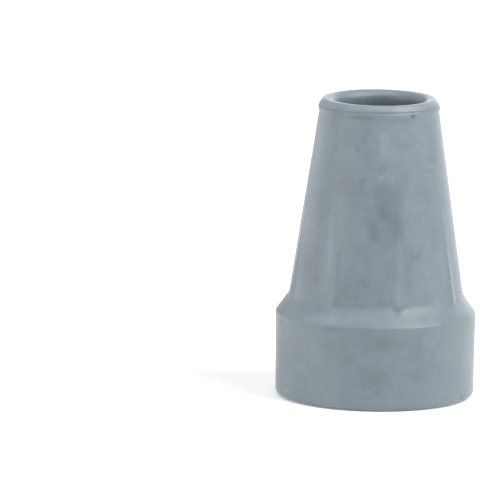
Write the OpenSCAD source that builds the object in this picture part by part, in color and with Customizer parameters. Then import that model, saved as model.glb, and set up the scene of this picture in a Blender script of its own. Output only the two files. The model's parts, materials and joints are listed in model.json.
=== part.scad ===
// Rubber cane tip.
// One moulded rubber piece: a wide foot with a ringed tread, a sloped shoulder and a tapering sleeve
// with a rolled lip, bored from the top for the cane's tube. Short ribs stiffen the sleeve where it
// stands on the shoulder. Millimetres, +Z up, origin at the middle of the standing face.

/* [Overall] */
// Height from the standing face to the top of the lip
height = 64.7; // [58:0.1:75]

/* [Foot] */
// Diameter of the foot at the shoulder's edge, its widest place
foot_d = 43; // [40:0.5:50]
// Height of the foot's wall, up to the shoulder's edge
foot_h = 18.3; // [15:0.1:22]
// Angle by which the foot's wall narrows towards the floor
foot_draft = 0.6; // [0:0.1:2]
// Radius round the bottom edge of the foot
foot_edge_round = 1.3; // [0.6:0.1:1.8]
// Radius round the shoulder's edge
shoulder_edge_round = 0.5; // [0.2:0.1:1]

/* [Sleeve] */
// Height of the sloped shoulder between the foot and the sleeve
shoulder_rise = 3.7; // [2:0.1:6]
// Diameter of the sleeve where it meets the shoulder
sleeve_foot_d = 37; // [34:0.1:39]
// Diameter of the sleeve where it meets the lip
sleeve_top_d = 25.5; // [24:0.1:25.7]
// Radius in the inner corner between the shoulder and the sleeve
shoulder_fillet = 1.5; // [0.5:0.1:3]

/* [Lip] */
// Largest diameter of the rolled lip
lip_d = 25.9; // [25.6:0.1:28]
// Radius round the mouth of the bore
mouth_round = 1.7; // [1.2:0.1:1.8]
// Angle by which the narrow top of the lip falls outwards
lip_slope = 10; // [5:1:20]
// Width of the narrow top of the lip, between the mouth's round and the lip's outer roll
lip_top_w = 0.15; // [0.1:0.05:0.3]
// Height of the crease in the lip's roll, down from the top
crease_drop = 1.6; // [1.2:0.1:2]
// Depth of the crease
crease_depth = 0.14; // [0.08:0.01:0.25]
// Radius of the crease's hollow
crease_round = 0.4; // [0.3:0.05:0.6]

/* [Bore] */
// Diameter of the bore, a press fit on the cane's tube
bore_d = 19; // [16:0.1:19.4]
// Depth of the bore from the top
bore_depth = 48; // [35:0.5:50]
// Radius in the corner at the bottom of the bore
bore_floor_round = 1; // [0.4:0.1:2]

/* [Ribs] */
// Number of ribs around the foot of the sleeve
rib_count = 8; // [4:1:12]
// Direction of the first rib, from the front towards the right
rib_turn = 15; // [0:1:44]
// Width of a rib across its back
rib_back_w = 0.5; // [0.3:0.05:1]
// How far a rib stands out of the sleeve at the shoulder
rib_proud = 0.5; // [0.3:0.05:1]
// Angle at which each flank of a rib rises from the sleeve
rib_flank = 32; // [20:1:60]
// Height above the shoulder at which a rib has faded into the sleeve
rib_rise = 17; // [10:0.5:24]

/* [Tread] */
// Radius of the shallow dish in the tread
dish_r = 63; // [50:1:90]
// Diameter at which the dish starts, inside the flat ring that stands on the floor
dish_d = 37.2; // [35.5:0.1:38]
// Outer diameter of the outer groove
outer_groove_d = 33.5; // [32:0.1:35]
// Width of the outer groove at its floor
outer_groove_w = 3; // [2:0.1:4]
// Outer diameter of the inner groove
inner_groove_d = 20; // [18:0.1:22]
// Width of the inner groove at its floor
inner_groove_w = 3; // [2:0.1:4]
// Depth of each groove below the dish at the groove's outer edge
groove_depth = 4; // [2:0.1:5]
// Angle by which each wall of a groove opens towards the floor
groove_draft = 3; // [0:0.5:8]
// Radius in the corners at the bottom of each groove
groove_floor_round = 0.4; // [0.2:0.1:0.8]

/* [Hidden] */
rubber_grey = [0.55, 0.61, 0.64];
// Overlap that keeps a cut or a join from ending on the face that it starts from
over = 1;
// Extra radius that makes a round cross the sides that it runs into, where it would only touch them
snug = 0.0005;
$fn = 96;
dish_facets = 360;

foot_r = foot_d / 2;
sole_r = foot_r - foot_h * tan(foot_draft);
sleeve_z = foot_h + shoulder_rise;
sleeve_foot_r = sleeve_foot_d / 2;
sleeve_top_r = sleeve_top_d / 2;
lip_r = lip_d / 2;
bore_r = bore_d / 2;
bore_z = height - bore_depth;
// Radius of the lip's outer roll, which takes all the wall that the mouth's round leaves
lip_round = (lip_r - bore_r - mouth_round * (1 + sin(lip_slope)) - lip_top_w * cos(lip_slope))
    / (1 - sin(lip_slope));
// Corner between the bore and the lip's sloping top, before it is rounded down to the height
mouth_corner = [bore_r, height + mouth_round * (1 / cos(lip_slope) + tan(lip_slope) - 1)];
// Radius and height of the middle of the lip's roll
roll_r = lip_r - lip_round;
roll_z = mouth_corner[1] - (roll_r - bore_r) * tan(lip_slope) - lip_round / cos(lip_slope);
// Point at which the roll begins on the lip's sloping top
roll_start = [roll_r, roll_z] + lip_round * [sin(lip_slope), cos(lip_slope)];
crease_z = height - crease_drop;
dish_r0 = dish_d / 2;
dish_z = sqrt(pow(dish_r, 2) - pow(dish_r0, 2));
// How much the sleeve's radius shrinks with each millimetre of height
sleeve_taper = (sleeve_foot_r - sleeve_top_r) / (roll_z - sleeve_z);

// Height of the dish's surface at a radius
function dish_height(r) = sqrt(pow(dish_r, 2) - pow(r, 2)) - dish_z;

// Radius of the lip's roll at a height
function roll_radius(z) = roll_r + sqrt(pow(lip_round, 2) - pow(z - roll_z, 2));

// Radius of the sleeve at a height
function sleeve_radius(z) = sleeve_foot_r - (z - sleeve_z) * sleeve_taper;

// Direction from one point to another, one millimetre long
function toward(from, to) = (to - from) / norm(to - from);

// Half of the angle at the corner b between its sides to a and c
function half_angle(a, b, c) = acos(toward(b, a) * toward(b, c)) / 2;

// Point on the side from b to a at which a round of radius r in the corner b begins
function touch(a, b, c, r) = b + toward(b, a) * r / tan(half_angle(a, b, c));

// Middle of a round of radius r in the corner b
function round_middle(a, b, c, r) =
    b + toward([0, 0], toward(b, a) + toward(b, c)) * r / sin(half_angle(a, b, c));

// The circle that rounds the corner b
module corner_circle(a, b, c, r) {
    translate(round_middle(a, b, c, r)) circle(r + snug);
}

// Outline whose corners are [point, radius]: an outer corner is rounded off, and an inner one, whose
// radius is negative, is filled to its round
module rounded_outline(corners) {
    count = len(corners);
    points = [for (c = corners) c[0]];
    radii = [for (c = corners) c[1]];
    function before(i) = points[(i + count - 1) % count];
    function after(i) = points[(i + 1) % count];
    function cut_corner(i) = radii[i] == 0 ? [points[i]] : [
        touch(before(i), points[i], after(i), abs(radii[i])),
        touch(after(i), points[i], before(i), abs(radii[i]))
    ];
    difference() {
        union() {
            polygon([for (i = [0 : count - 1]) each cut_corner(i)]);
            for (i = [0 : count - 1]) {
                if (radii[i] > 0) corner_circle(before(i), points[i], after(i), radii[i]);
            }
        }
        for (i = [0 : count - 1]) {
            if (radii[i] < 0) corner_circle(before(i), points[i], after(i), -radii[i]);
        }
    }
}

// Half of the outer form: foot, shoulder, sleeve and lip, before anything is hollowed out
module outer_half() {
    rounded_outline([
        [[0, 0], 0],
        [[sole_r, 0], foot_edge_round],
        [[foot_r, foot_h], shoulder_edge_round],
        [[sleeve_foot_r, sleeve_z], -shoulder_fillet],
        [[sleeve_top_r, roll_z], 0],
        [[roll_r, roll_z], 0],
        [roll_start, 0],
        [mouth_corner, 0],
        [[0, mouth_corner[1]], 0]
    ]);
    translate([roll_r, roll_z]) circle(lip_round + snug);
}

// Half of the bore, open at the top
module bore_half() {
    floor_corner = [bore_r, bore_z];
    top_z = mouth_corner[1] + over;
    mouth_low = touch(floor_corner, mouth_corner, roll_start, mouth_round);
    mouth_high = touch(roll_start, mouth_corner, floor_corner, mouth_round);
    difference() {
        rounded_outline([
            [[0, bore_z], 0],
            [floor_corner, bore_floor_round],
            [mouth_low, 0],
            [mouth_high, 0],
            [[mouth_high[0], top_z], 0],
            [[0, top_z], 0]
        ]);
        corner_circle(floor_corner, mouth_corner, roll_start, mouth_round);
    }
}

// Half of one groove in the tread, from its outer edge inwards
module groove_half(outer_r, floor_w) {
    roof_z = dish_height(outer_r) + groove_depth;
    opening = (roof_z + over) * tan(groove_draft);
    rounded_outline([
        [[outer_r - floor_w - opening, -over], 0],
        [[outer_r + opening, -over], 0],
        [[outer_r, roof_z], groove_floor_round],
        [[outer_r - floor_w, roof_z], groove_floor_round]
    ]);
}

// Half of all that is cut from the underside
module tread_half() {
    translate([0, -dish_z]) circle(dish_r, $fn = dish_facets);
    groove_half(outer_groove_d / 2, outer_groove_w);
    groove_half(inner_groove_d / 2, inner_groove_w);
}

// The round body of the tip, without its ribs
module turned_body() {
    rotate_extrude() difference() {
        outer_half();
        bore_half();
        tread_half();
        translate([roll_radius(crease_z) - crease_depth + crease_round, crease_z]) circle(crease_round);
    }
}

// One rib at the front: a ridge with sloping flanks that leans into the sleeve and fades into it
module rib() {
    low_r = sleeve_foot_r + rib_proud;
    high_r = sleeve_radius(sleeve_z + rib_rise);
    lean = atan((low_r - high_r) / rib_rise);
    // How far the ridge reaches inwards from its back, and how wide it has become there
    reach = rib_proud + over;
    base_w = rib_back_w + 2 * reach / tan(rib_flank);
    // Length of the ridge below the sleeve, down into the foot of the tip
    root_length = shoulder_rise + over;
    ridge_length = root_length + rib_rise / cos(lean) + over;
    translate([0, -low_r, sleeve_z])
        rotate([-lean, 0, 0])
        translate([0, 0, -root_length])
        linear_extrude(height = ridge_length)
        polygon([[-base_w / 2, reach], [-rib_back_w / 2, 0], [rib_back_w / 2, 0], [base_w / 2, reach]]);
}

module rubber_tip() {
    color(rubber_grey) {
        turned_body();
        for (i = [0 : rib_count - 1]) {
            rotate([0, 0, rib_turn + i * 360 / rib_count]) rib();
        }
    }
}

rubber_tip();
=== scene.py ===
"""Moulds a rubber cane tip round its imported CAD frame. Laid out as a Blender add-on, run as a script."""

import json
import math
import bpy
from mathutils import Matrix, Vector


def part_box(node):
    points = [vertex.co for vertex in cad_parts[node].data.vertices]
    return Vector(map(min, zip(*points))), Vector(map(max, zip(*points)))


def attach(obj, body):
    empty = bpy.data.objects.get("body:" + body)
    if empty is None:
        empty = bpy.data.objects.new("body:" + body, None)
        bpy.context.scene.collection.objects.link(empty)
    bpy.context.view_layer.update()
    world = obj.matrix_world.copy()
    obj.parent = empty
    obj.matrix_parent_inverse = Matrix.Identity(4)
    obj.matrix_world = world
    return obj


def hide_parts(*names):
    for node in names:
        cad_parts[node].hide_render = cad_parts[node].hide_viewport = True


bl_info = {
    "name": "Rubber Cane Tip",
    "version": (1, 0, 0),
    "blender": (4, 5, 0),
    "location": "View3D > Sidebar > Cane Tip",
    "description": "Moulds the rubber tip of a walking cane, gives it its finish and sets the stage",
    "category": "Object",
}

from collections import namedtuple

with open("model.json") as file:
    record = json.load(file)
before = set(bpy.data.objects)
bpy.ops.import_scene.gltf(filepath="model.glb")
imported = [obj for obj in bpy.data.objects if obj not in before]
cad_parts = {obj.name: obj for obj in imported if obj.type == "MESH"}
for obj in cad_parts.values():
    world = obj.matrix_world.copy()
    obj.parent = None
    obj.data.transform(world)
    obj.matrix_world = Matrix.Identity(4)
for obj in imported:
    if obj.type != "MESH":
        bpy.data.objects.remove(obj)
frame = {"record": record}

import bmesh
import bpy
import numpy as np
from bpy.props import FloatProperty, FloatVectorProperty, IntProperty, PointerProperty
from mathutils import Matrix, Vector

MM = 0.001
NODE = "rubber_tip"
# The node's highest corner gives the foot's radius and the height of the tip
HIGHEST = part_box(NODE)[1]
# The record states the bore that the cane's tube is pressed into
BORE = next(mount["dims"] for mount in frame["record"]["mounts"] if mount["name"] == "bore")

# How finely the skin is cut: steps round the axis, and the longest step along the half section, outside
# the bore's radius and within it
STEPS_ROUND = 400
OUTER_STEP = 0.7 * MM
INNER_STEP = 3 * MM
# Points closer together than this are one
ONE_POINT = 2e-6
# Ribs and marks that would move the skin by less than this leave it alone
FAINTEST_RIB = 0.012 * MM
FAINTEST_MARK = 0.002 * MM
# Edges that turn by more than this stay sharp
SHARP_EDGE = math.radians(40)

# A corner of the half section, in metres: its place, and the radius and the sides of its round
Corner = namedtuple("Corner", "radius height round sides", defaults=(0.0, 0))

# Traces of use on the outside, with painted shade and painted highlights by the lip, the ribs, the
# shoulder, the foot of the sleeve and the left side. Direction is in degrees from the front towards the
# right, height and half sizes are in millimetres, tone is the change of colour in the middle, from -1 to
# 1, and dent is the depth in millimetres, negative for a bump.
Mark = namedtuple("Mark", "name direction height half_width half_height tone dent", defaults=(0.0,))
MARKS = [
    Mark("pit under the lip", 33.5, 62.3, 0.95, 0.75, -0.5, 0.25),
    Mark("swelling of the lip at the left", -84, 63.3, 5.0, 1.0, 0.0, -0.14),
    Mark("swelling of the lip at the right", 80, 63.6, 5.0, 1.2, -0.1, -0.14),
    # Painted shade under the lip's roll, at the left and at the front
    Mark("dirt under the lip at the left", -44, 62.3, 2.6, 0.7, -0.16),
    Mark("dirt under the lip at the front", -17, 62.3, 2.8, 0.8, -0.17),
    Mark("pale upper middle", 7, 56.5, 5.5, 7.5, 0.15),
    # Painted light on the upper left edge of the sleeve
    Mark("pale left edge", -70, 54, 4.0, 10.0, 0.14),
    Mark("pale smudge", 22, 60.4, 1.8, 0.9, 0.07),
    Mark("little bump", 2.5, 58, 0.8, 0.7, 0.18, -0.06),
    Mark("dull upper left", -29, 58.5, 3.2, 5.0, -0.16),
    Mark("smudge", -14, 57.2, 1.4, 1.8, -0.1),
    Mark("speck", -19, 55.6, 0.8, 1.3, -0.16),
    Mark("worn upper right", 56, 54.7, 3.4, 6.0, -0.13),
    Mark("pale scratch at the right", 52, 51.6, 2.9, 0.6, 0.1),
    Mark("scratch under it", 48, 50.4, 2.6, 0.6, -0.14, 0.02),
    Mark("patch at the left", -31, 48.5, 3.2, 7.0, -0.18),
    Mark("dull left", -20, 46.5, 3.5, 7.0, -0.08),
    Mark("short scuff", -12, 49, 1.4, 0.8, -0.16),
    Mark("pale scuff", 2, 49.5, 1.3, 0.8, 0.16),
    Mark("pale strokes", 12, 49.2, 1.2, 1.0, 0.1),
    Mark("blot", 0.5, 46.3, 2.6, 2.2, -0.16),
    Mark("worn right", 44, 46.5, 5.0, 6.5, -0.12),
    Mark("dull right, lower", 50, 38, 3.5, 5.0, -0.1),
    Mark("dark middle, above", 15, 46, 3.4, 4.0, -0.11),
    Mark("pale streak down the left", -37, 37, 1.2, 9.0, 0.14),
    Mark("pale dot", 38, 42.9, 0.9, 0.4, 0.18),
    Mark("dark middle", 7, 42.3, 4.5, 3.0, -0.11),
    Mark("worn middle", 7, 41, 5.5, 10.0, -0.12),
    Mark("dark middle, right", 15, 39, 2.8, 5.5, -0.1),
    Mark("dark middle, left", -2, 38.2, 2.4, 5.0, -0.07),
    Mark("speck at the right", 35, 36.9, 0.9, 0.9, -0.12),
    Mark("dull low middle", -12, 27, 6.0, 5.5, -0.07),
    Mark("dull spot at the right", 30, 32.6, 2.2, 1.8, -0.1),
    # Painted highlights along the ribs' lit flanks and painted shade beside the ribs' shaded flanks
    Mark("pale back of the left rib", -34.5, 31.5, 1.3, 9.0, 0.22),
    Mark("dirt right of the left rib", -22.5, 25, 2.1, 4.2, -0.2),
    Mark("dirt left of it", -45, 26.8, 1.4, 3.4, -0.13),
    Mark("pale back of the front rib", 14.5, 25, 1.3, 5.0, 0.28),
    Mark("pale beside the front rib", 11, 26, 1.9, 4.5, 0.1),
    # Painted shade at the front rib's foot and along the right rib's shaded flank
    Mark("dirt at the foot of the front rib", 14.5, 21.3, 1.3, 1.4, -0.2),
    Mark("dirt along the right rib", 59, 28, 0.8, 6.0, -0.14),
    # Darker rubber at the lower left of the sleeve, partly painted shade
    Mark("dull lower left", -62, 29.5, 6.5, 9.0, -0.17),
    # Painted shade in the corner where the sleeve meets the shoulder
    Mark("dirt at the foot of the sleeve", -16, 22.4, 6.0, 0.7, -0.1),
    Mark("dark spot at the foot of the sleeve", -27, 22.2, 2.4, 0.7, -0.15),
    Mark("pale left shoulder", -32, 19.2, 7.5, 2.0, 0.4),
    Mark("pale shoulder", -12, 20.0, 6.0, 1.8, 0.1),
    # Painted shade in the corner where the sleeve meets the shoulder, at the right
    Mark("dirt at the foot of the sleeve, right", 22, 22.2, 3.5, 0.8, -0.14),
    Mark("dull right shoulder", 25, 19.7, 6.0, 2.2, -0.22),
    Mark("pale right shoulder", 62, 20.0, 4.5, 2.2, 0.18),
    # Painted shade under the shoulder's edge
    Mark("dirt under the shoulder's edge", -28, 17.5, 8.0, 0.8, -0.16),
    Mark("nick by the shoulder", -68, 17.0, 1.3, 1.0, -0.32, 0.12),
    Mark("nick under it", -64, 15.8, 1.0, 0.8, -0.22, 0.08),
    Mark("dark middle of the foot", 4, 15.0, 6.5, 3.5, -0.2),
    Mark("blot on the foot", -29, 14.1, 1.9, 1.4, -0.12),
    Mark("dark low middle", 0, 7.5, 5.5, 4.8, -0.17),
    Mark("dark low right", 23.5, 7.5, 2.6, 3.2, -0.12),
    Mark("pale right", 66, 10, 4.5, 5.5, 0.12),
    # Painted shade on the left wall of the foot
    Mark("dull left wall", -74, 10, 6.5, 12.0, -0.26),
    Mark("pale specks on the foot", -48, 8.4, 1.2, 0.8, 0.12),
    # Darker rubber left of the foot, partly painted shade
    Mark("dull left of the foot", -58, 11, 5.0, 7.0, -0.1),
    Mark("low pale dot", -3, 4.6, 0.7, 0.6, 0.16),
    Mark("low blot", 2, 4.4, 1.1, 1.2, -0.15),
    Mark("bright speck near the floor", -62, 2.1, 0.9, 0.7, 0.45, -0.04),
    Mark("chip near the floor", 61, 1.4, 1.4, 0.9, -0.3, 0.15),
]

# How steeply a dent fades: at its half sizes, exp(-DENT_FADE) of its depth is left
DENT_FADE = 2.0
# In millimetres: how far from the axis the middle of a mark's colour lies at the floor and at the top,
# the height of that top, and how far in and out the colour reaches
MARK_RADII = (21.0, 13.0)
MARK_TOP = 64.0
MARK_REACH = 8.0

# Unevenness of the soft walls: the size of its swells, and the share that each has in the whole
SWELLS = {
    "Wander": (18 * MM, 0.7),
    "Ripple": (5 * MM, 0.3),
}

# Patterns in the rubber: waves in a metre, levels of detail and their roughness
PATTERNS = {
    "clouds": (110.0, 4.0, 0.55),
    "stains": (230.0, 2.0, 0.4),
    "patches": (380.0, 3.0, 0.55),
    "streaks": (500.0, 2.0, 0.5),
    "flecks": (1100.0, 2.0, 0.5),
    "grain": (3800.0, 2.0, 0.6),
}

# Where each soft lamp hangs: degrees from the front towards the right, and degrees above the floor
LAMPS = {
    "top_lamp": (-30, 70),
    "right_lamp": (60, 45),
    "low_left_lamp": (-60, 12),
    "low_right_lamp": (90, 12),
    "rear_left_lamp": (-120, 12),
    "rear_lamp": (180, 12),
    "rear_right_lamp": (150, 12),
}


def length(name, description, millimetres, low=0.0):
    """A length in the sidebar, stored in metres and shown in the scene's units."""
    return FloatProperty(name=name, description=description, default=millimetres * MM, min=low * MM,
                         unit="LENGTH", subtype="DISTANCE", precision=5)


def angle(name, description, degrees):
    return FloatProperty(name=name, description=description, default=math.radians(degrees),
                         unit="ROTATION", subtype="ANGLE")


def amount(name, description, value, low=0.0, high=1.0):
    return FloatProperty(name=name, description=description, default=value, min=low, max=high,
                         subtype="FACTOR")


def power(name, description, watts):
    return FloatProperty(name=name, description=description, default=watts, min=0.0,
                         unit="POWER", subtype="POWER")


def colour(name, description, rgb):
    return FloatVectorProperty(name=name, description=description, default=rgb, size=3, min=0.0, max=1.0,
                               subtype="COLOR")


class CaneTipForm(bpy.types.PropertyGroup):
    """Sizes of the moulded tip, the CAD solid's with softer edges."""

    height: length("Height", "From the floor to the top of the lip", HIGHEST.z / MM)
    foot_radius: length("Foot radius", "At the shoulder's edge", HIGHEST.x / MM)
    foot_height: length("Foot height", "Up to the shoulder's edge", 18.15)
    foot_draft: angle("Foot draft", "How much the foot's wall narrows downwards", 0.6)
    foot_round: length("Bottom round", "Radius round the bottom edge", 1.5)
    shoulder_round: length("Shoulder round", "Radius round the shoulder's edge", 0.5)
    sleeve_foot_radius: length("Sleeve's foot radius", "Where the sleeve stands on the shoulder", 18.7)
    sleeve_foot_height: length("Sleeve's foot height", "Where the sleeve stands on the shoulder", 22.1)
    fillet: length("Fillet", "Radius between the shoulder and the sleeve", 3.0)
    sleeve_top_radius: length("Sleeve's top radius", "Just under the lip; the ribs lean by it", 12.75)
    lip_radius: length("Lip radius", "Outermost, at the middle of the lip's roll", 13.05)
    mouth_round: length("Mouth round", "Radius round the mouth of the bore", 2.0)
    lip_slope: angle("Lip slope", "How much the lip's narrow top falls outwards", 10.0)
    lip_top_width: length("Lip top", "Width of the lip's narrow top", 0.25)
    lip_stretch: amount("Lip stretch", "Height of the lip's roll against a round one's",
                        1.65, low=1.0, high=3.0)
    lip_slant: amount("Lip slant", "Shape of the lip's outer edge, 1 for a round, 2 for a straight slant",
                      1.5, low=1.0, high=2.0)
    crease_drop: length("Crease drop", "From the lip's top down to the crease in its roll", 1.5)
    crease_depth: length("Crease depth", "How far the crease cuts into the roll", 0.14)
    crease_width: length("Crease width", "From the crease's middle to where it has nearly faded", 0.2)
    bore_radius: length("Bore radius", "A press fit on the cane's tube", BORE["r_mm"])
    bore_floor: length("Bore floor", "Height of the bore's floor", 16.7)
    bore_round: length("Bore round", "Radius round the bore's floor", 1.0)


class CaneTipTread(bpy.types.PropertyGroup):
    """Sizes of the dished, grooved underside."""

    dish_radius: length("Dish radius", "Radius of the dish's sphere", 63.0)
    dish_edge: length("Dish edge", "Radius at which the dish starts", 18.6)
    dish_edge_round: length("Dish edge round", "Radius round the dish's edge", 0.6)
    outer_groove: length("Outer groove", "Radius of the outer groove's outer wall at its floor", 16.75)
    inner_groove: length("Inner groove", "Radius of the inner groove's outer wall at its floor", 10.0)
    groove_width: length("Groove width", "At the groove's floor", 3.0)
    groove_depth: length("Groove depth", "At the groove's outer wall", 4.0)
    groove_draft: angle("Groove draft", "How much each wall opens towards the floor", 3.0)
    groove_floor_round: length("Groove floor round", "Radius in the corners of a groove's floor", 0.4)
    groove_edge_round: length("Groove edge round", "Radius round the edges of a groove", 0.3)


class CaneTipRibs(bpy.types.PropertyGroup):
    """Sizes of the ribs at the foot of the sleeve."""

    count: IntProperty(name="Ribs", description="Evenly spaced round the sleeve",
                       default=8, min=1, max=24)
    turn: angle("First rib", "Direction of the first rib, from the front towards the right", 15.0)
    proud: length("Rib height", "How far a rib stands out at the shoulder", 0.5)
    back_width: length("Rib back", "Width of a rib's rounded back", 1.3)
    flank: angle("Rib flank", "Angle at which a rib's sides rise", 34.5)
    rise: length("Rib rise", "Height over which a rib fades into the sleeve", 17.0)
    blend: length("Rib blend", "How softly a rib grows out of the sleeve", 0.2)


class CaneTipFinish(bpy.types.PropertyGroup):
    """Colours and surface of the rubber, with its painted shade and painted highlights."""

    rubber: colour("Rubber", "The rubber's own colour", (0.115, 0.150, 0.172))
    pale: colour("Pale patches", "Where the rubber has a dry, chalky look", (0.150, 0.185, 0.205))
    mottle: amount("Mottle", "Strength of the cloudy patches", 0.5)
    streaks: amount("Streaks", "Strength of the faint streaks along the sleeve", 0.1)
    stains: amount("Stains", "How much darker the stains are than the rest", 0.07)
    # Painted shade along the crease under the lip's top
    crease_painted_shade: amount("Crease dirt", "How dark the dirt is where the crease holds most of it", 0.2)
    # Painted highlight: the top of the lip paler than the rest
    lip_painted_highlight: amount("Lip painted_highlight", "How much paler the top of the lip is than the rest", 0.22)
    bore_shade: amount("Bore shade", "How much darker the rubber is down the bore", 0.4)
    groove_shade: amount("Groove shade", "How much darker the rubber is in the tread's grooves", 0.45)
    roughness: amount("Roughness", "Mean roughness of the surface", 0.5)
    roughness_range: amount("Roughness range", "How far the roughness goes up and down", 0.06)
    grain_depth: length("Grain depth", "Depth of the fine grain in the shading", 0.06)
    sheen: amount("Sheen", "Strength of the dry, dusty sheen at the edges", 0.3)
    unevenness: length("Unevenness", "How far the soft walls wander from true", 0.05)


class CaneTipStage(bpy.types.PropertyGroup):
    """Floor, lights and camera."""

    floor_half: length("Floor", "Half of the floor's side", 6000, low=500)
    floor_colour: colour("Floor colour", "A plain pale floor", (0.88, 0.88, 0.88))
    floor_glow: amount("Floor glow", "Light that the floor gives of itself", 0.22, high=4.0)
    room: amount("Room light", "Strength of the even light from all round", 0.02, high=4.0)
    lamp_distance: length("Lamp distance", "Of each lamp from the tip", 900, low=300)
    lamp_side: length("Lamp side", "Side of each square lamp", 500, low=50)
    top_lamp: power("Top lamp", "High over the tip, a little to the left", 4.0)
    right_lamp: power("Right lamp", "High at the front right", 9.8)
    low_left_lamp: power("Low left lamp", "Low at the front left", 4.6)
    low_right_lamp: power("Low right lamp", "Low at the right", 1.7)
    rear_left_lamp: power("Rear left lamp", "Low behind, at the left", 2.1)
    rear_lamp: power("Rear lamp", "Low behind", 2.3)
    rear_right_lamp: power("Rear right lamp", "Low behind, at the right", 2.1)
    distance: length("Camera distance", "In front of the tip", 2000, low=300)
    camera_height: length("Camera height", "Above the floor", 384.5)
    pitch: angle("Camera pitch", "How far the camera looks down", 10.0)
    yaw: angle("Camera yaw", "How far the camera looks to the right", -0.8056)
    roll: angle("Camera roll", "How far the camera is rolled", 0.9)
    lens: FloatProperty(name="Lens", description="Focal length on a 36 mm sensor, in millimetres",
                        default=691.2, min=1.0, unit="CAMERA")


# Drawing a half section and turning it


def only(obj):
    """Deselects everything, then makes obj the only selected and active object."""
    if bpy.context.object and bpy.context.object.mode != "OBJECT":
        bpy.ops.object.mode_set(mode="OBJECT")
    bpy.ops.object.select_all(action="DESELECT")
    obj.select_set(True)
    bpy.context.view_layer.objects.active = obj


def place_of(corner):
    return Vector((corner.radius, 0.0, corner.height))


def bevel_reach(before, corner, after):
    """How far along its two sides the round of a corner reaches."""
    here = place_of(corner)
    half = (place_of(before) - here).angle(place_of(after) - here) / 2
    return corner.round / math.tan(half)


def select_corner(obj, corner):
    """Selects the vertex of a half section that lies at this corner."""
    bpy.ops.mesh.select_mode(type="VERT")
    bpy.ops.mesh.select_all(action="DESELECT")
    mesh = bmesh.from_edit_mesh(obj.data)
    for vertex in mesh.verts:
        vertex.select = (vertex.co - place_of(corner)).length < ONE_POINT
    mesh.select_flush(True)
    bmesh.update_edit_mesh(obj.data)


def draw_section(name, corners):
    """Draws a half section: extrudes one vertex from corner to corner, then bevels the rounds."""
    bpy.ops.object.select_all(action="DESELECT")
    bpy.ops.mesh.primitive_plane_add(size=MM, location=(0, 0, 0))
    obj = bpy.context.object
    obj.name = name
    obj.data.name = name
    bpy.ops.object.mode_set(mode="EDIT")
    bpy.ops.mesh.select_all(action="SELECT")
    bpy.ops.mesh.merge(type="CENTER")
    bpy.ops.transform.translate(value=place_of(corners[0]))
    for here, there in zip(corners, corners[1:]):
        step = place_of(there) - place_of(here)
        bpy.ops.mesh.extrude_region_move(TRANSFORM_OT_translate={"value": step})
    for before, corner, after in zip(corners, corners[1:], corners[2:]):
        if corner.round > 0:
            select_corner(obj, corner)
            bpy.ops.mesh.bevel(offset_type="OFFSET", offset=bevel_reach(before, corner, after),
                               segments=corner.sides, affect="VERTICES")
    return obj


def cut_long_sides(obj, longest, inner_longest, inner_radius):
    """Cuts each long side of the section into equal steps, longer ones within inner_radius."""
    def cuts(edge):
        inside = all(vertex.co.x < inner_radius for vertex in edge.verts)
        return math.ceil(edge.calc_length() / (inner_longest if inside else longest)) - 1

    bpy.ops.mesh.select_mode(type="EDGE")
    mesh = bmesh.from_edit_mesh(obj.data)
    for number in sorted({cuts(edge) for edge in mesh.edges} - {0}):
        bpy.ops.mesh.select_all(action="DESELECT")
        mesh = bmesh.from_edit_mesh(obj.data)
        for edge in mesh.edges:
            edge.select = cuts(edge) == number
        bmesh.update_edit_mesh(obj.data)
        bpy.ops.mesh.subdivide(number_cuts=number)


def turn_section(obj, steps):
    """Turns the section once round the axis and closes it."""
    turn = obj.modifiers.new("Turn", "SCREW")
    turn.axis = "Z"
    turn.angle = 2 * math.pi
    turn.screw_offset = 0.0
    turn.steps = steps
    turn.render_steps = steps
    turn.use_merge_vertices = True
    turn.merge_threshold = ONE_POINT
    only(obj)
    bpy.ops.object.modifier_apply(modifier=turn.name)
    bpy.ops.object.mode_set(mode="EDIT")
    bpy.ops.mesh.select_all(action="SELECT")
    bpy.ops.mesh.remove_doubles(threshold=ONE_POINT)
    bpy.ops.mesh.normals_make_consistent(inside=False)
    bpy.ops.object.mode_set(mode="OBJECT")


# The tip's own section


def dish_height(tread, radius):
    """Height of the dished tread at a radius."""
    middle = -math.sqrt(tread.dish_radius ** 2 - tread.dish_edge ** 2)
    return middle + math.sqrt(tread.dish_radius ** 2 - radius ** 2)


def groove_corners(tread, outer_radius):
    """The four corners of a groove, from its inner edge to its outer edge."""
    roof = dish_height(tread, outer_radius) + tread.groove_depth
    inner_radius = outer_radius - tread.groove_width
    opening = math.tan(tread.groove_draft)
    inner_edge = inner_radius - (roof - dish_height(tread, inner_radius)) * opening
    outer_edge = outer_radius + tread.groove_depth * opening
    return [
        Corner(inner_edge, dish_height(tread, inner_edge), tread.groove_edge_round, sides=4),
        Corner(inner_radius, roof, tread.groove_floor_round, sides=4),
        Corner(outer_radius, roof, tread.groove_floor_round, sides=4),
        Corner(outer_edge, dish_height(tread, outer_edge), tread.groove_edge_round, sides=4),
    ]


def tread_corners(tread):
    """Underside, from the axis out to the flat ring that stands on the floor."""
    inner = groove_corners(tread, tread.inner_groove)
    outer = groove_corners(tread, tread.outer_groove)
    half_way_in = inner[0].radius / 2
    middle_land = (inner[-1].radius + outer[0].radius) / 2
    return [
        Corner(0.0, dish_height(tread, 0.0)),
        Corner(half_way_in, dish_height(tread, half_way_in)),
        *inner,
        Corner(middle_land, dish_height(tread, middle_land)),
        *outer,
        Corner(tread.dish_edge, 0.0, tread.dish_edge_round, sides=2),
    ]


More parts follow.
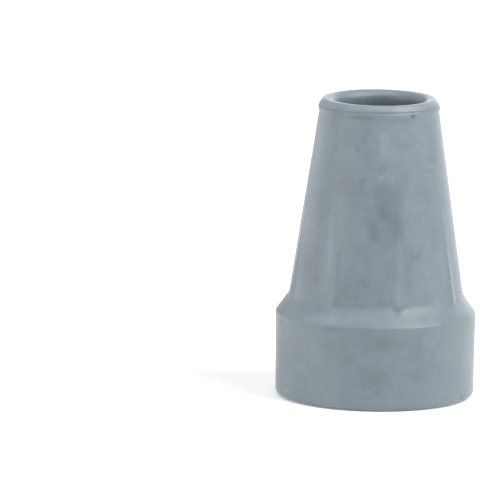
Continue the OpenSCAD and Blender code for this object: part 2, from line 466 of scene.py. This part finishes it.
def lip_roll(form):
    """Radius of the lip's outer roll, which takes all the wall that the mouth's round leaves."""
    slope = form.lip_slope
    left = form.lip_radius - form.bore_radius - form.mouth_round * (1 + math.sin(slope))
    roll = (left - form.lip_top_width * math.cos(slope)) / (1 - math.sin(slope))
    if roll <= 0:
        raise ValueError("The mouth's round and the lip's top leave no wall for the lip's roll")
    return roll


def mouth_height(form):
    """Height at which the bore would meet the lip's sloping top, were the mouth not rounded."""
    slope = form.lip_slope
    return form.height + form.mouth_round * (1 / math.cos(slope) + math.tan(slope) - 1)


def roll_middle(form):
    """Radius and height of the middle of the lip's outer roll."""
    slope, roll = form.lip_slope, lip_roll(form)
    radius = form.lip_radius - roll
    fall = (radius - form.bore_radius) * math.tan(slope)
    return radius, mouth_height(form) - fall - roll * form.lip_stretch / math.cos(slope)


def lip_corners(form):
    """Roll of the lip, from the sleeve over the top to the mouth of the bore, with its crease."""
    roll = lip_roll(form)
    middle_radius, middle_height = roll_middle(form)
    crease_height = form.height - form.crease_drop
    lowest, highest, points = math.radians(-30), math.radians(90) - form.lip_slope, 27
    corners = []
    for turn in np.linspace(lowest, highest, points):
        out, up = math.cos(turn), math.sin(turn)
        if up > 0:
            out, up = out ** form.lip_slant, up ** form.lip_slant
        height = middle_height + roll * form.lip_stretch * up
        off_crease = (height - crease_height) / form.crease_width
        reach = roll - form.crease_depth * math.exp(-off_crease ** 2)
        corners.append(Corner(middle_radius + reach * out, height))
    corners.append(Corner(form.bore_radius, mouth_height(form), form.mouth_round, sides=14))
    return corners


def tip_corners(form, tread):
    """The whole half section, from the middle of the tread, round the outside and down the bore."""
    sole = form.foot_radius - form.foot_height * math.tan(form.foot_draft)
    return [
        *tread_corners(tread),
        Corner(sole, 0.0, form.foot_round, sides=8),
        Corner(form.foot_radius, form.foot_height, form.shoulder_round, sides=6),
        Corner(form.sleeve_foot_radius, form.sleeve_foot_height, form.fillet, sides=6),
        *lip_corners(form),
        Corner(form.bore_radius, form.bore_floor, form.bore_round, sides=6),
        Corner(0.0, form.bore_floor),
    ]


# Ribs, marks and unevenness


def coordinates(obj):
    co = np.empty(len(obj.data.vertices) * 3, np.float32)
    obj.data.vertices.foreach_get("co", co)
    return co.reshape(-1, 3).astype(float)


def radius_and_direction(co):
    """Distance of each vertex from the axis, and its direction from the front towards the right."""
    return np.hypot(co[:, 0], co[:, 1]), np.arctan2(co[:, 0], -co[:, 1])


def rib_heights(form, ribs, co):
    """How far each vertex is raised by the ribs: ridges with rounded backs that fade with height."""
    radius, direction = radius_and_direction(co)
    above = co[:, 2] - form.sleeve_foot_height
    run = roll_middle(form)[1] - form.sleeve_foot_height
    taper = (form.sleeve_foot_radius - form.sleeve_top_radius) / run
    back_radius = form.sleeve_foot_radius - taper * above + ribs.proud * (1 - above / ribs.rise)
    pitch = 2 * math.pi / ribs.count
    aside = radius * np.abs((direction - ribs.turn + pitch / 2) % pitch - pitch / 2)
    rounding = np.sqrt(aside ** 2 + ribs.back_width ** 2) - ribs.back_width
    raised = back_radius - radius - rounding * math.tan(ribs.flank)
    soft = (raised + np.sqrt(raised ** 2 + ribs.blend ** 2)) / 2
    outside = radius > form.bore_radius + form.mouth_round
    over_foot = co[:, 2] > form.foot_height - form.shoulder_round
    under_fade = above < 1.2 * ribs.rise
    return np.where(outside & over_foot & under_fade & (soft > FAINTEST_RIB), soft, 0)


def mark_heights(form, co):
    """How far each vertex is raised, or where negative pressed in, by the traces of use."""
    radius, direction = radius_and_direction(co)
    heights = np.zeros(len(co))
    for mark in MARKS:
        aside = radius * (direction - math.radians(mark.direction)) / (mark.half_width * MM)
        along = (co[:, 2] / MM - mark.height) / mark.half_height
        heights -= mark.dent * MM * np.exp(-DENT_FADE * (aside ** 2 + along ** 2))
    outside = radius > form.bore_radius + form.mouth_round
    return np.where(outside & (np.abs(heights) > FAINTEST_MARK), heights, 0)


def weigh(obj, name, values):
    """Stores values from 0 to 1 in a vertex group, to the nearest thousandth."""
    group = obj.vertex_groups.new(name=name)
    steps = np.round(values * 1000).astype(int)
    order = np.argsort(steps)
    for indices in np.split(order, np.flatnonzero(np.diff(steps[order])) + 1):
        if steps[indices[0]] > 0:
            group.add(indices.tolist(), steps[indices[0]] / 1000, "REPLACE")
    return group


def push_out(obj, name, heights):
    """Moves each vertex along its normal by its own height, inwards where that is negative."""
    for sign, part in ((1, heights.clip(min=0)), (-1, (-heights).clip(min=0))):
        tallest = float(part.max())
        if tallest > 0:
            displace = obj.modifiers.new(name, "DISPLACE")
            displace.vertex_group = weigh(obj, name, part / tallest).name
            displace.strength = sign * tallest
            displace.mid_level = 0.0
            only(obj)
            bpy.ops.object.modifier_apply(modifier=displace.name)
            obj.vertex_groups.clear()


def soft_walls(form, co):
    """How freely each vertex may wander: not at all where the tip stands or where the tube goes."""
    standing_edge, floor_fade = 0.6 * MM, 2 * MM
    top_fade, least_at_top = 1.5 * MM, 0.25
    inside_foot, inside_mouth = form.foot_radius - 1.5 * MM, form.bore_radius + 0.3 * MM
    radius, _ = radius_and_direction(co)
    height = co[:, 2]
    off_floor = np.clip((height - standing_edge) / floor_fade, 0, 1)
    off_top = np.clip((form.height - height) / top_fade, least_at_top, 1)
    outside = (radius > inside_foot) | (height > form.foot_height)
    return off_floor * off_top * outside * (radius > inside_mouth)


def make_uneven(obj, form, depth):
    """Lets the soft walls wander a little from true."""
    weigh(obj, "soft_walls", soft_walls(form, coordinates(obj)))
    for name, (size, share) in SWELLS.items():
        swells = bpy.data.textures.new("Cane tip " + name.lower(), "CLOUDS")
        swells.noise_scale = size
        swells.noise_depth = 1
        displace = obj.modifiers.new(name, "DISPLACE")
        displace.texture = swells
        displace.texture_coords = "LOCAL"
        displace.vertex_group = "soft_walls"
        displace.strength = 2 * depth * share
        displace.mid_level = 0.5
        only(obj)
        bpy.ops.object.modifier_apply(modifier=displace.name)


# The rubber


class Nodes:
    """A short way to add and join the nodes of one material."""

    def __init__(self, material):
        material.use_nodes = True
        self.tree = material.node_tree
        self.tree.nodes.clear()
        self.column = 0

    def add(self, kind, settings=(), **inputs):
        """Adds a node; an input's name has _ for each space."""
        node = self.tree.nodes.new(kind)
        node.location = (self.column * 180, 0)
        self.column += 1
        for key, value in dict(settings).items():
            setattr(node, key, value)
        for key, value in inputs.items():
            self.put(node, key.replace("_", " "), value)
        return node

    def put(self, node, socket, value):
        """Joins an output to a socket, or sets the socket's own value."""
        if isinstance(value, bpy.types.NodeSocket):
            self.tree.links.new(value, node.inputs[socket])
        else:
            node.inputs[socket].default_value = value

    def math(self, operation, a, b):
        node = self.add("ShaderNodeMath", {"operation": operation})
        self.put(node, 0, a)
        self.put(node, 1, b)
        return node.outputs[0]

    def vector_length(self, vector):
        node = self.add("ShaderNodeVectorMath", {"operation": "LENGTH"}, Vector=vector)
        return node.outputs["Value"]

    def noise(self, vector, scale, detail, roughness):
        node = self.add("ShaderNodeTexNoise", Vector=vector, Scale=scale, Detail=detail,
                        Roughness=roughness)
        return node.outputs["Fac"]

    def spread(self, value, low, high, to_low=0.0, to_high=1.0):
        """Maps low..high to to_low..to_high, smoothly and within limits."""
        node = self.add("ShaderNodeMapRange", {"interpolation_type": "SMOOTHSTEP"},
                        Value=value, From_Min=low, From_Max=high, To_Min=to_low, To_Max=to_high)
        return node.outputs["Result"]

    def mix(self, factor, a, b):
        """Mixes two colours; the sockets of a Mix node share names, so they go by number."""
        node = self.add("ShaderNodeMix", {"data_type": "RGBA"})
        for socket, value in ((0, factor), (6, a), (7, b)):
            self.put(node, socket, value)
        return node.outputs[2]


def mark_tones(nodes, place):
    """Change of the rubber's colour by all the marks, which are traces of use, painted shade and painted
    highlights; about 1 where there are none.
    """
    at_floor, at_top = MARK_RADII
    total = 1.0
    for mark in MARKS:
        turn = math.radians(mark.direction)
        radius = at_floor + (at_top - at_floor) * min(1, mark.height / MARK_TOP)
        middle = Vector((radius * math.sin(turn), -radius * math.cos(turn), mark.height)) * MM
        half_sizes = Vector((mark.half_width, MARK_REACH, mark.half_height)) * MM
        in_mark = nodes.add("ShaderNodeMapping", {"vector_type": "TEXTURE"}, Vector=place,
                            Location=middle, Rotation=(0, 0, turn), Scale=half_sizes).outputs[0]
        away = nodes.vector_length(in_mark)
        total = nodes.math("ADD", nodes.spread(away, 0.0, 1.0, mark.tone, 0.0), total)
    return total


def lip_tone(nodes, height, patches, form, finish):
    """Painted shade in the lip's crease, more in some places than in others, and a painted highlight on
    its top.
    """
    crease = form.height - form.crease_drop
    thick, faded = 0.05 * MM, 0.35 * MM
    most, least = finish.crease_painted_shade, finish.crease_painted_shade / 10
    away = nodes.math("ABSOLUTE", nodes.math("SUBTRACT", height, crease), 0.0)
    line = nodes.spread(away, thick, faded, 1.0, 0.0)
    # Painted shade along the lip's crease, stronger in some places
    painted_shade = nodes.math("MULTIPLY", line, nodes.spread(patches, 0.3, 0.7, least, most))
    # Painted highlight on the top of the lip
    lip = nodes.spread(height, crease, crease + MM, 1.0, 1.0 + finish.lip_painted_highlight)
    return nodes.math("SUBTRACT", lip, painted_shade)


def bore_shade(nodes, radius, height, form, finish):
    """Darkness of the rubber down the bore, which begins a little below the mouth."""
    begins, full = form.height - 1.2 * MM, form.height - 4 * MM
    wall, floor = form.bore_radius, form.bore_floor
    in_bore = nodes.spread(radius, wall + 0.2 * MM, wall + 1.5 * MM, 1.0, 0.0)
    over_tread = nodes.spread(height, floor - 2 * MM, floor - MM)
    down = nodes.spread(height, full, begins, finish.bore_shade, 0.0)
    return nodes.math("MULTIPLY", nodes.math("MULTIPLY", in_bore, over_tread), down)


def groove_shade(nodes, radius, height, tread, finish):
    """Darkness of the rubber in the tread's grooves, which grows with the depth over the dish."""
    begins, full = 0.5 * MM, tread.groove_depth - 0.8 * MM
    wall, top = tread.outer_groove, 8 * MM
    in_grooves = nodes.spread(radius, wall + 0.4 * MM, wall + 0.8 * MM, 1.0, 0.0)
    in_tread = nodes.spread(height, top, top + MM, 1.0, 0.0)
    drop = nodes.math("DIVIDE", nodes.math("MULTIPLY", radius, radius), 2 * tread.dish_radius)
    depth = nodes.math("SUBTRACT", nodes.math("ADD", height, drop), dish_height(tread, 0.0))
    up = nodes.spread(depth, begins, full, 0.0, finish.groove_shade)
    return nodes.math("MULTIPLY", nodes.math("MULTIPLY", in_grooves, in_tread), up)


def cloudy_rubber(nodes, patterns, finish):
    """The rubber's colour with its dry patches, before it is marked."""
    shares = {"patches": finish.mottle * 0.8, "flecks": finish.mottle * 0.4, "streaks": finish.streaks}
    paleness = nodes.math("MULTIPLY", nodes.spread(patterns["clouds"], 0.3, 0.7), finish.mottle * 0.7)
    for name, share in shares.items():
        part = nodes.math("MULTIPLY", nodes.spread(patterns[name], 0.35, 0.65), share)
        paleness = nodes.math("ADD", paleness, part)
    return nodes.mix(paleness, (*finish.rubber, 1), (*finish.pale, 1))


def wear_and_painted_shade_tone(nodes, place, patterns, form, tread, finish):
    """How light or dark use, painted shade, painted highlights and depth make each place, 1 where they
    change nothing.
    """
    height = nodes.add("ShaderNodeSeparateXYZ", Vector=place).outputs["Z"]
    flat = nodes.add("ShaderNodeMapping", Vector=place, Scale=(1.0, 1.0, 0.0)).outputs[0]
    radius = nodes.vector_length(flat)
    shade = nodes.math("ADD", bore_shade(nodes, radius, height, form, finish),
                       groove_shade(nodes, radius, height, tread, finish))
    tone = mark_tones(nodes, place)
    for part in (
        lip_tone(nodes, height, patterns["clouds"], form, finish),
        nodes.spread(patterns["stains"], 0.6, 0.72, 1.0, 1.0 - finish.stains),
        nodes.math("SUBTRACT", 1.0, shade),
    ):
        tone = nodes.math("MULTIPLY", tone, part)
    return tone


def fine_grain(nodes, patterns, depth):
    """The normal of the rubber's fine grain."""
    height = nodes.math("MULTIPLY", patterns["patches"], 0.7)
    for name, share in (("grain", 0.2), ("flecks", 0.3)):
        height = nodes.math("ADD", height, nodes.math("MULTIPLY", patterns[name], share))
    return nodes.add("ShaderNodeBump", Height=height, Strength=0.5, Distance=depth).outputs[0]


def rubber_material(form, tread, finish):
    """Moulded grey rubber: cloudy, faintly streaked and marked by use, with painted shade and highlights
    and a dry sheen.
    """
    material = bpy.data.materials.new("Grey moulded rubber")
    nodes = Nodes(material)
    place = nodes.add("ShaderNodeTexCoord").outputs["Object"]
    drawn_out = nodes.add("ShaderNodeMapping", Vector=place, Scale=(1.0, 1.0, 0.08)).outputs[0]
    patterns = {name: nodes.noise(drawn_out if name == "streaks" else place, *grain)
                for name, grain in PATTERNS.items()}
    tinted = nodes.add("ShaderNodeVectorMath", {"operation": "SCALE"},
                       Vector=cloudy_rubber(nodes, patterns, finish),
                       Scale=wear_and_painted_shade_tone(nodes, place, patterns, form, tread, finish)).outputs["Vector"]
    roughness = nodes.spread(patterns["patches"], 0.3, 0.7, finish.roughness - finish.roughness_range,
                             finish.roughness + finish.roughness_range)
    shader = nodes.add("ShaderNodeBsdfPrincipled", Base_Color=tinted, Roughness=roughness,
                       Specular_IOR_Level=0.5, Sheen_Weight=finish.sheen, Sheen_Roughness=0.4,
                       Normal=fine_grain(nodes, patterns, finish.grain_depth))
    nodes.add("ShaderNodeOutputMaterial", Surface=shader.outputs[0])
    return material


class CANETIP_OT_mould_tip(bpy.types.Operator):
    """Mould the tip: draw its half section, turn it, raise the ribs, wear it a little and colour it"""

    bl_idname = "canetip.mould_tip"
    bl_label = "Mould the Tip"
    bl_options = {"REGISTER", "UNDO"}

    def execute(self, context):
        scene = context.scene
        form, tread, ribs, finish = scene.cane_form, scene.cane_tread, scene.cane_ribs, scene.cane_finish
        tip = draw_section("moulded_tip", tip_corners(form, tread))
        cut_long_sides(tip, OUTER_STEP, INNER_STEP, form.bore_radius + 0.01 * MM)
        turn_section(tip, STEPS_ROUND)
        push_out(tip, "Ribs", rib_heights(form, ribs, coordinates(tip)))
        push_out(tip, "Marks", mark_heights(form, coordinates(tip)))
        make_uneven(tip, form, finish.unevenness)
        only(tip)
        bpy.ops.object.shade_smooth_by_angle(angle=SHARP_EDGE)
        tip.data.materials.clear()
        tip.data.materials.append(rubber_material(form, tread, finish))
        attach(tip, "root")
        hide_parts(NODE)
        return {"FINISHED"}


# Floor, lights and camera


def floor_material(stage):
    material = bpy.data.materials.new("Pale floor")
    nodes = Nodes(material)
    shader = nodes.add("ShaderNodeBsdfPrincipled", Base_Color=(*stage.floor_colour, 1), Roughness=0.9,
                       Specular_IOR_Level=0.1, Emission_Color=(1, 1, 1, 1),
                       Emission_Strength=stage.floor_glow)
    nodes.add("ShaderNodeOutputMaterial", Surface=shader.outputs[0])
    return material


def lay_floor(stage):
    bpy.ops.object.select_all(action="DESELECT")
    bpy.ops.mesh.primitive_plane_add(size=2 * stage.floor_half, location=(0, 0, 0))
    floor = bpy.context.object
    floor.name = "floor"
    floor.data.materials.append(floor_material(stage))


def light_room(stage):
    """Gives the world an even white light."""
    world = bpy.data.worlds.new("Bright room")
    world.use_nodes = True
    background = world.node_tree.nodes["Background"]
    background.inputs["Color"].default_value = (1, 1, 1, 1)
    background.inputs["Strength"].default_value = stage.room
    bpy.context.scene.world = world


def hang_lamp(stage, name, direction, elevation):
    """Hangs a large square lamp that looks at the middle of the tip and isn't seen itself."""
    middle = Vector((0, 0, HIGHEST.z / 2))
    turn, rise = math.radians(direction), math.radians(elevation)
    level = Vector((math.sin(turn), -math.cos(turn), 0))
    outwards = level * math.cos(rise) + Vector((0, 0, math.sin(rise)))
    bpy.ops.object.select_all(action="DESELECT")
    bpy.ops.object.light_add(type="AREA", location=middle + outwards * stage.lamp_distance)
    lamp = bpy.context.object
    lamp.name = name
    lamp.data.shape = "SQUARE"
    lamp.data.size = stage.lamp_side
    lamp.data.energy = getattr(stage, name)
    lamp.rotation_mode = "QUATERNION"
    lamp.rotation_quaternion = outwards.to_track_quat("Z", "Y")
    lamp.visible_camera = False


def camera_matrix(stage):
    """Where the camera stands and how it is turned."""
    a, b, c = stage.pitch, stage.yaw, stage.roll
    ahead = Vector((math.sin(b) * math.cos(a), math.cos(b) * math.cos(a), -math.sin(a)))
    right = Vector((math.cos(b), -math.sin(b), 0))
    up = right.cross(ahead)
    rolled_right = right * math.cos(c) + up * math.sin(c)
    rolled_up = up * math.cos(c) - right * math.sin(c)
    turned = Matrix((rolled_right, rolled_up, -ahead)).transposed().to_4x4()
    return Matrix.Translation((0, -stage.distance, stage.camera_height)) @ turned


def place_camera(stage):
    """Adds the camera and looks through it."""
    bpy.ops.object.select_all(action="DESELECT")
    bpy.ops.object.camera_add(location=(0, -stage.distance, stage.camera_height))
    camera = bpy.context.object
    camera.name = "camera"
    camera.matrix_world = camera_matrix(stage)
    camera.data.sensor_width = 36.0
    camera.data.lens = stage.lens
    camera.data.clip_start = 0.05
    camera.data.clip_end = 30.0
    camera.data.dof.use_dof = False
    bpy.context.scene.camera = camera


class CANETIP_OT_set_stage(bpy.types.Operator):
    """Lay the floor, hang the lights and place the camera"""

    bl_idname = "canetip.set_stage"
    bl_label = "Set the Stage"
    bl_options = {"REGISTER", "UNDO"}

    def execute(self, context):
        stage = context.scene.cane_stage
        lay_floor(stage)
        light_room(stage)
        for name, (direction, elevation) in LAMPS.items():
            hang_lamp(stage, name, direction, elevation)
        place_camera(stage)
        context.scene.view_settings.view_transform = "Standard"
        return {"FINISHED"}


class CANETIP_PT_sidebar(bpy.types.Panel):
    """Lists the tip's sizes and steps in the 3D view's sidebar"""

    bl_idname = "CANETIP_PT_sidebar"
    bl_label = "Cane Tip"
    bl_space_type = "VIEW_3D"
    bl_region_type = "UI"
    bl_category = "Cane Tip"

    def draw_group(self, title, group):
        box = self.layout.box()
        box.label(text=title)
        for name in group.__annotations__:
            box.prop(group, name)

    def draw(self, context):
        scene = context.scene
        self.draw_group("Form", scene.cane_form)
        self.draw_group("Tread", scene.cane_tread)
        self.draw_group("Ribs", scene.cane_ribs)
        self.draw_group("Finish", scene.cane_finish)
        self.layout.operator(CANETIP_OT_mould_tip.bl_idname)
        self.draw_group("Stage", scene.cane_stage)
        self.layout.operator(CANETIP_OT_set_stage.bl_idname)


CLASSES = (CaneTipForm, CaneTipTread, CaneTipRibs, CaneTipFinish, CaneTipStage,
           CANETIP_OT_mould_tip, CANETIP_OT_set_stage, CANETIP_PT_sidebar)
GROUPS = {"cane_form": CaneTipForm, "cane_tread": CaneTipTread, "cane_ribs": CaneTipRibs,
          "cane_finish": CaneTipFinish, "cane_stage": CaneTipStage}


def register():
    for cls in CLASSES:
        bpy.utils.register_class(cls)
    for name, group in GROUPS.items():
        setattr(bpy.types.Scene, name, PointerProperty(type=group))


def unregister():
    for name in GROUPS:
        delattr(bpy.types.Scene, name)
    for cls in reversed(CLASSES):
        bpy.utils.unregister_class(cls)


def main():
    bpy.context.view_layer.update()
    register()
    bpy.ops.canetip.set_stage()
    bpy.ops.canetip.mould_tip()


if __name__ == "__main__":
    main()
